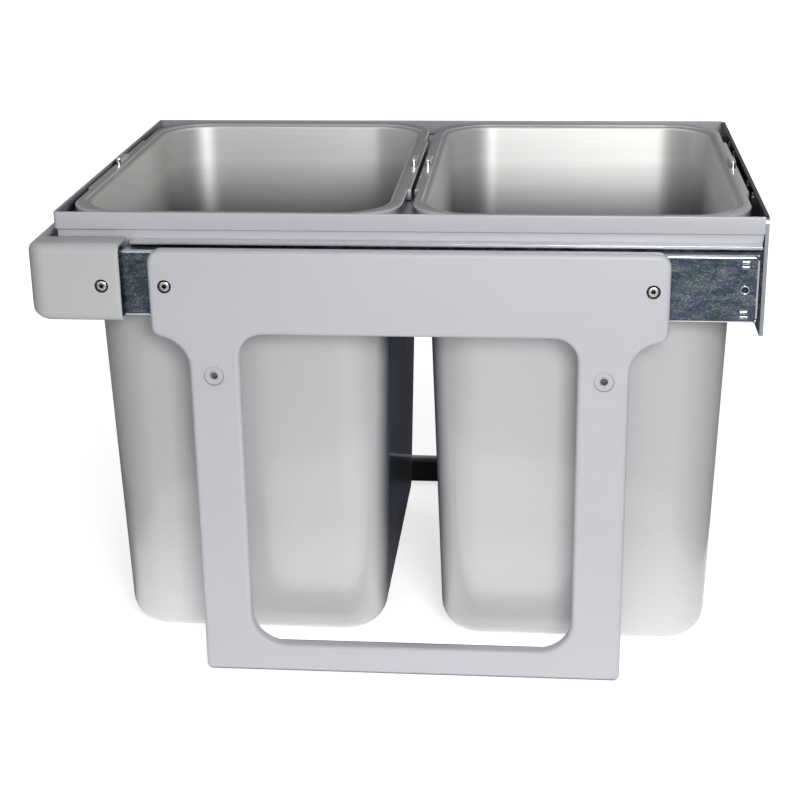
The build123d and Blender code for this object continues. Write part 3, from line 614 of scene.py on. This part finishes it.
def way_map(rings, inside_out):
    """UV places of all face corners, in metres: u is the way round, v the way from ring to ring.

    The two end faces are mapped flat, by their X and Y.
    """
    count, points = rings.shape[:2]
    here = np.arange(points)
    step = np.linalg.norm(np.diff(rings, axis=0), axis=2).mean(axis=1)
    across = np.concatenate([[0.0], np.cumsum(step)])
    way = np.linalg.norm(np.roll(rings, -1, axis=1) - rings, axis=2).mean(axis=0)
    around = np.concatenate([[0.0], np.cumsum(way)])
    u = around[np.stack([here, here + 1, here + 1, here], axis=-1)]
    u = np.broadcast_to(u, (count - 1, points, 4)).reshape(-1, 4)
    lower, upper = np.repeat(across[:-1], points), np.repeat(across[1:], points)
    v = np.stack([lower, lower, upper, upper], axis=-1)
    if inside_out:
        u, v = u[:, ::-1], v[:, ::-1]
    flat = rings[[0, -1], :, :2].reshape(-1, 2)
    return np.concatenate([np.stack([u, v], axis=-1).reshape(-1, 2), flat]).astype(np.float32)


def add_piece(name, points, faces, body, materials):
    """A smooth mesh as a new piece that rides on a body and takes its finish from a slot."""
    mesh = bpy.data.meshes.new(name)
    mesh.from_pydata(points.reshape(-1, 3), [], faces)
    for material in materials:
        mesh.materials.append(material)
    mesh.polygons.foreach_set("use_smooth", np.ones(len(mesh.polygons), bool))
    made = bpy.data.objects.new(name, mesh)
    scene.collection.objects.link(made)
    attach(made, body)
    print(name, "faces:", len(mesh.polygons))
    return made


def make_surface(name, rings, body, materials, belts=None):
    """Joins rings of points, an array of rings by points by 3, into one closed piece.

    Belt i lies between ring i and ring i + 1 and takes material belts[i].
    """
    quads, caps, inside_out = joined_faces(rings)
    faces = [*quads.tolist(), *[cap.tolist() for cap in caps]]
    made = add_piece(name, rings, faces, body, materials)
    mesh = made.data
    if belts is not None:
        indices = np.repeat(belts, rings.shape[1])
        indices = np.concatenate([indices, [belts[0], belts[-1]]]).astype(np.int32)
        mesh.polygons.foreach_set("material_index", indices)
    layer = mesh.uv_layers.new(name="along_surface")
    layer.uv.foreach_set("vector", way_map(rings, inside_out).ravel())
    mesh.set_sharp_from_angle(angle=math.radians(SHARP_ANGLE))
    mesh.validate()
    mesh.update()
    return made


# %% [markdown]
# ## The bins
# A bin is a tapered shell with round corners, a flat flange and a short skirt that hangs over the frame's
# shelf. The two ends of the rim step out over their middle part. Boxes with bevels could make it, but the
# flange, skirt and lip are small round steps one after the other, so the bin is a stack of rings instead.
# Every ring is a rounded rectangle with the same number of points, so corners always meet corners.

# %% Bin sizes
bin_nodes = {"rear": "waste_bin_rear", "front": "waste_bin_front"}
RIM_WIDTH = 10.0 * MM
RIM_STEP = 2.2 * MM
RIM_STEP_HALF = 82.0 * MM
RIM_SHEET = 2.0 * MM
RIM_RADIUS = 35.0 * MM
SKIRT_DEPTH = 8.2 * MM
EDGE_RADIUS = 1.3 * MM
SKIRT_ROUND = 0.6 * MM
LEDGE_INSET = 4.8 * MM
LEDGE_ROUND = 0.7 * MM
LIP_DROP = 1.5 * MM
LIP_RADIUS = 1.7 * MM
MOUTH_RADIUS = 38.0 * MM
WALL = 2.0 * MM
FLOOR_RADIUS = 20.0 * MM
EAR_HEIGHT = 4.2 * MM
DRAFT = math.tan(math.radians(1.7))
print("rim width, skirt depth and wall in mm:", [round(s / MM, 1) for s in (RIM_WIDTH, SKIRT_DEPTH, WALL)])

# %% Rings of a bin
CORNER_STEPS = 20
LONG_SIDE_STEPS = 24
END_SIDE_STEPS = 24
STEP_RAMP = 0.7 * MM


def end_side(straight_half):
    """Shares from -1 to 1 along an end side, and at each of them how far the rim stands out, 0 to 1."""
    marks = np.array([RIM_STEP_HALF, RIM_STEP_HALF + STEP_RAMP]) / straight_half
    shares = np.unique(np.concatenate([np.linspace(-1, 1, END_SIDE_STEPS + 1), marks, -marks]))
    return shares, np.interp(np.abs(shares), marks, [1.0, 0.0])


def bin_ring(half_x, half_y, radius, z, step, shares, stands_out):
    """A rounded rectangle at height z: quarter circles joined by straight sides.

    The second half of the ring is the first half turned by half a turn. On the two end sides the middle
    stands out by the step.
    """
    long_x, long_y = half_x - radius, half_y - radius
    angles = np.linspace(0, math.pi / 2, CORNER_STEPS + 1)[1:-1]
    corner = np.column_stack([long_x + radius * np.cos(angles), long_y + radius * np.sin(angles)])
    across = np.linspace(long_x, -long_x, LONG_SIDE_STEPS + 1)
    end = np.column_stack([half_x + step * stands_out, long_y * shares])
    side = np.column_stack([across, np.full(across.shape, half_y)])
    half_ring = np.concatenate([end, corner, side, corner[::-1] * (-1, 1)])
    ring = np.concatenate([half_ring, -half_ring])
    return np.column_stack([ring, np.full(len(ring), z)])


def arc(start, stop, steps):
    """Sine and cosine pairs of evenly spaced angles, in degrees."""
    angles = np.radians(np.linspace(start, stop, steps + 1))
    return zip(np.sin(angles), np.cos(angles))


# %% Stations of a bin
FLOOR_STEPS = 8
EDGE_STEPS = 6
LEDGE_STEPS = 5
OUTER_WALL_RINGS = 14
INNER_WALL_RINGS = 16


def bin_stations(rim_x, rim_y, top, bottom):
    """Ring sizes from the outer floor, over the rim, to the inner floor, and where the inside starts.

    A station is half length, half width, corner radius, height and rim step. Walls lean by the draft, and
    every edge is a quarter circle: distance is radius times 1 - sine, height is radius times 1 - cosine.
    """
    stations = []

    def wall(z, outwards, inset=0.0):
        """The mouth's half sizes plus the way outwards, less the inset and the draft times the depth."""
        shift = outwards - (top - z) * DRAFT - inset
        size = (rim_x - RIM_WIDTH + shift, rim_y - RIM_WIDTH + shift, MOUTH_RADIUS + shift)
        stations.append((*size, z, 0.0))

    def rim(inset, z, step=RIM_STEP):
        """The rim's half sizes less the inset. The radius turns evenly into the mouth's."""
        radius = RIM_RADIUS + (MOUTH_RADIUS - RIM_RADIUS) * inset / RIM_WIDTH
        stations.append((rim_x - inset, rim_y - inset, radius, z, step))

    for s, c in arc(0, 90, FLOOR_STEPS):
        wall(bottom + FLOOR_RADIUS * (1 - c), WALL, FLOOR_RADIUS * (1 - s))
    for z in np.linspace(bottom + FLOOR_RADIUS, top - RIM_SHEET, OUTER_WALL_RINGS)[1:]:
        wall(z, WALL)
    rim(RIM_SHEET, top - RIM_SHEET)
    for s, c in arc(0, 180, EDGE_STEPS):
        rim(RIM_SHEET / 2 * (1 + c), top - SKIRT_DEPTH + SKIRT_ROUND * (1 - s))
    for s, c in arc(0, 90, EDGE_STEPS):
        rim(EDGE_RADIUS * (1 - c), top - EDGE_RADIUS * (1 - s))
    for s, c in arc(0, 90, LEDGE_STEPS):
        rim(LEDGE_INSET + LEDGE_ROUND * s, top - LEDGE_ROUND * (1 - c), 0.0)
    inside_from = len(stations)
    for s, c in arc(0, 90, EDGE_STEPS):
        rim(RIM_WIDTH - LIP_RADIUS * (1 - s), top - LIP_DROP - LIP_RADIUS * (1 - c), 0.0)
    for z in np.linspace(top - LIP_DROP - 2 * LIP_RADIUS, bottom + FLOOR_RADIUS, INNER_WALL_RINGS):
        wall(z, 0.0)
    inner_radius = FLOOR_RADIUS - WALL
    for s, c in list(arc(90, 0, FLOOR_STEPS))[1:]:
        wall(bottom + WALL + inner_radius * (1 - c), 0.0, inner_radius * (1 - s))
    return stations, inside_from


# %% [markdown]
# ## Silver bins
# The bins look like metal but are moulded in a silver-filled plastic. Outside they are satin under a clear
# gloss, with a very fine sparkle. The end walls are painted dark where the two bins stand close together,
# as painted shade, and the foot of the walls is painted lighter, as painted light from the floor. Narrow
# recesses get painted shade as well. Inside, fine brushed lines run level round the wall, and the light
# draws out into upright bands in the corners. A plain glossy shader gives round spots, so an anisotropic one
# is used. Its tangent comes from the UV map, which runs level round the bin, and the lines are a noise
# stretched along u. The inner walls are painted darker from a few centimetres below the rim downwards, as
# painted shade where little light gets in.

# %% Bin finish, outside
GAP_DISTANCE = 60 * MM
# The colour of the painted shade on end walls that stand close to the other bin.
GAP_SHADE = (0.100, 0.112, 0.160)
END_FACING = (0.80, 0.97)
FOOT_HEIGHTS = (0.02, 0.10)
FOOT_TONE = (0.72, 0.72, 0.73)
outside = Finish("bin_silver_outside", Metallic=0.20, IOR=1.45,
                 Coat_Weight=0.8, Coat_IOR=1.6, Coat_Roughness=0.08)
sparkle = outside.noise(outside.place(), 2400.0, 1.0)
drift = outside.noise(outside.place((1, 1, 0.5)), 6.0, 2.0)
body_tone = outside.mix(drift, (0.490, 0.490, 0.495), (0.545, 0.545, 0.555))
body_tone = outside.mix(outside.span(sparkle, 0.55, 0.75, 0.0, 0.35), body_tone, (0.76, 0.76, 0.76))
# Painted shade: end walls that stand close to the other bin take the dark gap tone.
gap_shade = outside.mix(outside.openness(GAP_DISTANCE, 0.0, 0.45, 1.0), GAP_SHADE, body_tone)
end_wall = outside.span(outside.normal_part(ALONG_X), *END_FACING)
body_tone = outside.mix(end_wall, body_tone, gap_shade)
# Painted light: the foot of the walls is painted lighter, as light from the floor.
foot = outside.span(outside.split(outside.place())["Z"], *FOOT_HEIGHTS, 0.75, 0.0)
body_tone = outside.mix(foot, body_tone, FOOT_TONE)
# Painted shade in narrow recesses.
body_tone = outside.painted_corner_shade(body_tone, 6 * MM, 0.15)
satin = outside.span(drift, 0.3, 0.7, 0.34, 0.42)
outside.finish(body_tone, satin, outside.relief(sparkle, 0.01 * MM, None, 0.3))
print("outside finish made, the gap's tone:", GAP_SHADE)

# %% Bin finish, inside
SHADE_HEIGHTS = (252 * MM, 300 * MM)
DEEP_SHARE = 0.30
inside = Finish("bin_silver_inside", Metallic=0.80, IOR=1.5, Anisotropic=0.70, Anisotropic_Rotation=0.25)
lines = inside.noise(inside.place((1.0, 60.0, 1.0), "UV"), 22.0, 6.0, 0.7)
streaks = inside.noise(inside.place((1.0, 14.0, 1.0), "UV"), 9.0, 3.0)
brushed = inside.mix(inside.span(lines, 0.35, 0.65), (0.730, 0.721, 0.708), (0.812, 0.802, 0.789))
brushed = inside.mix(inside.span(streaks, 0.35, 0.65, 0.0, 0.30), brushed, (0.88, 0.88, 0.87))
depth = inside.span(inside.split(inside.place())["Z"], *SHADE_HEIGHTS, DEEP_SHARE, 1.0)
brushed = inside.mix(1.0, brushed, depth, "MULTIPLY")
tangent = inside.node("ShaderNodeTangent", direction_type="UV_MAP", uv_map="along_surface")
inside.link(tangent.outputs[0], inside.shader.inputs["Tangent"])
inside.finish(brushed, inside.span(lines, 0.3, 0.7, 0.52, 0.64), inside.relief(lines, 0.02 * MM, None, 0.22))
print("inside finish made, light share deep down:", DEEP_SHARE)


# %% Make the bins
def make_bin(name, node, body):
    """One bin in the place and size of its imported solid, which it replaces."""
    low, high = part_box(node)
    top = high.z - EAR_HEIGHT
    rim_x = (high.x - low.x) / 2 - RIM_STEP
    rim_y = (high.y - low.y) / 2
    stations, inside_from = bin_stations(rim_x, rim_y, top, low.z)
    shares, stands_out = end_side(rim_y - RIM_RADIUS)
    rings = np.array([bin_ring(*station, shares, stands_out) for station in stations])
    rings += ((low.x + high.x) / 2, (low.y + high.y) / 2, 0.0)
    belts = [int(i >= inside_from) for i in range(len(stations) - 1)]
    made = make_surface("silver_bin_" + name, rings, body,
                        [outside.material, inside.material], belts)
    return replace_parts(made, node)


for name, node in bin_nodes.items():
    make_bin(name, node, "bin_" + name)

# %% [markdown]
# ## Ears
# In the middle of each rim end stands a small ear, a rounded tab with two narrow slots beside a steel pin.
# A box with two cuts could make it, but cuts leave untidy faces. Here the front view is an outline with a
# crown of two quarter circles, the outline is carried through the ear's thickness, and a small bevel rounds
# the edges that are left.

# %% Make the ears
EAR_WIDTH = 20.0 * MM
EAR_SHIFT = 3.0 * MM
EAR_DEPTH = 4.4 * MM
EAR_INSET = 1.8 * MM
EAR_CROWN = 2.0 * MM
EAR_ROOT = 1.0 * MM
SLOT_WIDTH = 0.9 * MM
SLOT_DEPTH = 1.6 * MM
SLOT_PITCH = 7.0 * MM
EAR_BEVEL = 0.25 * MM
EAR_BEVEL_STEPS = 2
EAR_BEVEL_FROM = 40


def ear_outline(root_z, top_z):
    """The ear from the front, anticlockwise: root, one crown corner, two slots, the other corner."""
    half = EAR_WIDTH / 2
    floor_z = top_z - SLOT_DEPTH
    crown = [(half - EAR_CROWN * (1 - c), top_z - EAR_CROWN * (1 - s)) for s, c in arc(0, 90, EDGE_STEPS)]
    slots = []
    for centre in (SLOT_PITCH / 2, -SLOT_PITCH / 2):
        right, left = centre + SLOT_WIDTH / 2, centre - SLOT_WIDTH / 2
        slots += [(right, top_z), (right, floor_z), (left, floor_z), (left, top_z)]
    far_crown = [(-y, z) for y, z in reversed(crown)]
    outline = [(-half, root_z), (half, root_z), *crown, *slots, *far_crown]
    return np.array(outline) + (EAR_SHIFT, 0.0)


def make_ears(name, node, body):
    """The two ears of a bin: the outline at a front and a back face, joined by one belt of faces."""
    low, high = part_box(node)
    outline = ear_outline(high.z - EAR_HEIGHT - EAR_ROOT, high.z)
    for end, sign in (("back", -1), ("fore", 1)):
        face_x = (high.x if sign > 0 else low.x) - sign * EAR_INSET
        faces_x = (face_x, face_x - sign * EAR_DEPTH)
        rings = np.array([np.column_stack([np.full(len(outline), x), outline]) for x in faces_x])
        ear = make_surface(f"ear_{name}_{end}", rings, body, [outside.material])
        bevel = ear.modifiers.new("soft_edge", "BEVEL")
        bevel.width = EAR_BEVEL
        bevel.segments = EAR_BEVEL_STEPS
        bevel.limit_method = "ANGLE"
        bevel.angle_limit = math.radians(EAR_BEVEL_FROM)


for name, node in bin_nodes.items():
    make_ears(name, node, "bin_" + name)

# %% [markdown]
# ## The bin frame
# The frame is one folded profile that runs along the left side, round the back and along the right side:
# an upright band, a shelf that the rims hang over, and a second band set back behind it. Three straight
# strips could make it, but their ends would show at the corners. So the profile is drawn once, by distance
# inwards and by height, its corners are rounded, and it is carried along a U.

# %% Frame profile
BAND_HEIGHT = 12.0 * MM
SHELF_WIDTH = 10.0 * MM
FRAME_WALL = 2.0 * MM
SET_BACK = 1.8 * MM
FRONT_GAP = 3.8 * MM
FRAME_CORNER = 3.0 * MM
LEAST_CORNER = 0.5 * MM
LIP_ROUND = 0.8 * MM
FOLD_ROUND = 1.0 * MM
STEP_ROUND = 0.4 * MM
EDGE_ROUND = 0.6 * MM
LOWER_BAND_FROM = 1.5 * MM
frame_low, frame_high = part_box("bin_frame")


def rounded_profile(corners, steps=4):
    """A closed outline from (distance, height, radius) corners, each turned into an arc.

    The arc's centre lies on the corner's bisector, at radius divided by the sine of half the angle. A point
    of the arc is the centre plus the cosine of its turn times the start, plus the sine times the start
    turned by a quarter.
    """
    points = []
    count = len(corners)
    for i in range(count):
        here = np.array(corners[i][:2])
        before = np.array(corners[i - 1][:2]) - here
        after = np.array(corners[(i + 1) % count][:2]) - here
        before /= np.linalg.norm(before)
        after /= np.linalg.norm(after)
        half_angle = math.acos(float(np.clip(before @ after, -1, 1))) / 2
        radius = corners[i][2]
        bisector = (before + after) / np.linalg.norm(before + after)
        centre = here + bisector * radius / math.sin(half_angle)
        start = here + before * radius / math.tan(half_angle) - centre
        stop = here + after * radius / math.tan(half_angle) - centre
        sweep = math.atan2(start[0] * stop[1] - start[1] * stop[0], start @ stop)
        turns = np.linspace(0, sweep, steps + 1)[:, None]
        quarter_on = np.array([-start[1], start[0]])
        points.append(centre + np.cos(turns) * start + np.sin(turns) * quarter_on)
    return np.concatenate(points)


top_z = frame_high.z
shelf_top = top_z - BAND_HEIGHT + FRAME_WALL
shelf_low = shelf_top - FRAME_WALL
inner = FRAME_WALL + SHELF_WIDTH
frame_profile = rounded_profile([
    (0.0, top_z, LIP_ROUND),
    (0.0, shelf_low, FOLD_ROUND),
    (SET_BACK, shelf_low, STEP_ROUND),
    (SET_BACK, frame_low.z, EDGE_ROUND),
    (SET_BACK + FRAME_WALL, frame_low.z, EDGE_ROUND),
    (SET_BACK + FRAME_WALL, shelf_low, FOLD_ROUND),
    (inner, shelf_low, EDGE_ROUND),
    (inner, shelf_top, EDGE_ROUND),
    (FRAME_WALL, shelf_top, FOLD_ROUND),
    (FRAME_WALL, top_z, LIP_ROUND),
])
print("frame profile points:", len(frame_profile))


# %% Carry the profile along the U
def u_path(inset, front_x, corner_steps=8, side_steps=40):
    """A U in plan at a distance inwards: side, quarter circle, back, quarter circle, side.

    The corner's radius shrinks by the inset and never gets smaller than the least corner.
    """
    radius = np.maximum(FRAME_CORNER - inset, LEAST_CORNER)
    rear = frame_low.x + inset
    half = frame_high.y - inset
    side = rear + radius + (front_x - rear - radius) * np.linspace(1, 0, side_steps + 1)
    angles = np.linspace(0, math.pi / 2, corner_steps + 1)[1:]
    turn_x = rear + radius - radius * np.sin(angles)
    turn_y = -half + radius - radius * np.cos(angles)
    back_y = np.linspace(-half + radius, 0, side_steps // 2 + 1)[1:]
    xs = np.concatenate([side, turn_x, np.full(back_y.shape, rear)])
    ys = np.concatenate([np.full(side.shape, -half), turn_y, back_y])
    return np.column_stack([np.concatenate([xs, xs[-2::-1]]), np.concatenate([ys, -ys[-2::-1]])])


in_lower_band = frame_profile[:, 1] < shelf_low - LOWER_BAND_FROM
front_xs = np.where(in_lower_band, frame_high.x - FRONT_GAP, frame_high.x)
paths = [u_path(inset, front_x) for (inset, z), front_x in zip(frame_profile, front_xs)]
heights = np.broadcast_to(frame_profile[:, 1][:, None], (len(paths), len(paths[0])))
frame_rings = np.concatenate([np.array(paths), heights[:, :, None]], axis=2).transpose(1, 0, 2)
frame_piece = make_surface("folded_frame", frame_rings, "carriage", [paint.material])
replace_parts(frame_piece, "bin_frame")

# %% [markdown]
# ## Rings round the holes
# Each wall screw hole of a bracket lies in a shallow round recess, with a thin raised lip round the hole
# itself. The slide's front hole has a bright rim of the same kind, where the punch turned the sheet. A torus
# primitive would do, but the same few lines of numpy place it straight in the mesh: a small circle is
# carried once round the hole.

# %% A ring round a hole
RING_STEPS = 48
TUBE_STEPS = 16


def ring_faces(rings):
    """Four-sided faces on a grid of points that closes on itself both ways, facing outwards."""
    count, points = rings.shape[:2]
    i, j = np.meshgrid(np.arange(count), np.arange(points), indexing="ij")
    next_i, next_j = (i + 1) % count, (j + 1) % points
    quads = np.stack([i * points + j, next_i * points + j, next_i * points + next_j, i * points + next_j],
                     axis=-1).reshape(-1, 4)
    return quads[:, ::-1] if signed_volume(rings, quads) < 0 else quads


def hole_lip(name, x, y, z, outward, tube, ring, material):
    """A ring: distance from the hole's axis is ring + tube times cosine, height is tube times sine."""
    turns = np.linspace(0, 2 * math.pi, RING_STEPS, endpoint=False)
    section = np.linspace(0, 2 * math.pi, TUBE_STEPS, endpoint=False)
    reach = ring + tube * np.cos(section)
    rise = tube * np.sin(section)
    rings = np.stack([
        x + np.outer(np.cos(turns), reach),
        y + outward * np.broadcast_to(rise, (len(turns), len(section))),
        z + np.outer(np.sin(turns), reach),
    ], axis=2)
    return add_piece(name, rings, ring_faces(rings).tolist(), "fixed_base", [material])


# %% Lips of the wall screw holes
LIP_TUBE = 0.45 * MM
LIP_RING = 2.95 * MM
wall_mounts = [mount for mount in frame["record"]["mounts"] if mount["name"].startswith("wall_")]
for mount in wall_mounts:
    middle = Vector(mount["pos_m"])
    outward = mount["axis"][ALONG_Y]
    half_pitch = mount["dims"]["spacing_x_mm"] * MM / 2
    for end, sign in (("back", -1), ("fore", 1)):
        hole_lip(f"{mount['name']}_lip_{end}", middle.x + sign * half_pitch, middle.y, middle.z, outward,
                 LIP_TUBE, LIP_RING, moulding)

# %% Rims of the slides' front holes
SLIDE_HOLE_SETBACK = 8.6 * MM
SLIDE_LIP_TUBE = 0.42 * MM
SLIDE_LIP_RING = 2.60 * MM
for side, outward in (("left", -1), ("right", 1)):
    rail_low, rail_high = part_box("fixed_rail_" + side)
    face_y = rail_low.y if outward < 0 else rail_high.y
    hole_x = rail_high.x - SLIDE_HOLE_SETBACK
    hole_z = (rail_low.z + rail_high.z) / 2
    hole_lip("slide_hole_lip_" + side, hole_x, face_y - outward * SLIDE_LIP_TUBE, hole_z, outward,
             SLIDE_LIP_TUBE, SLIDE_LIP_RING, pin_finish)
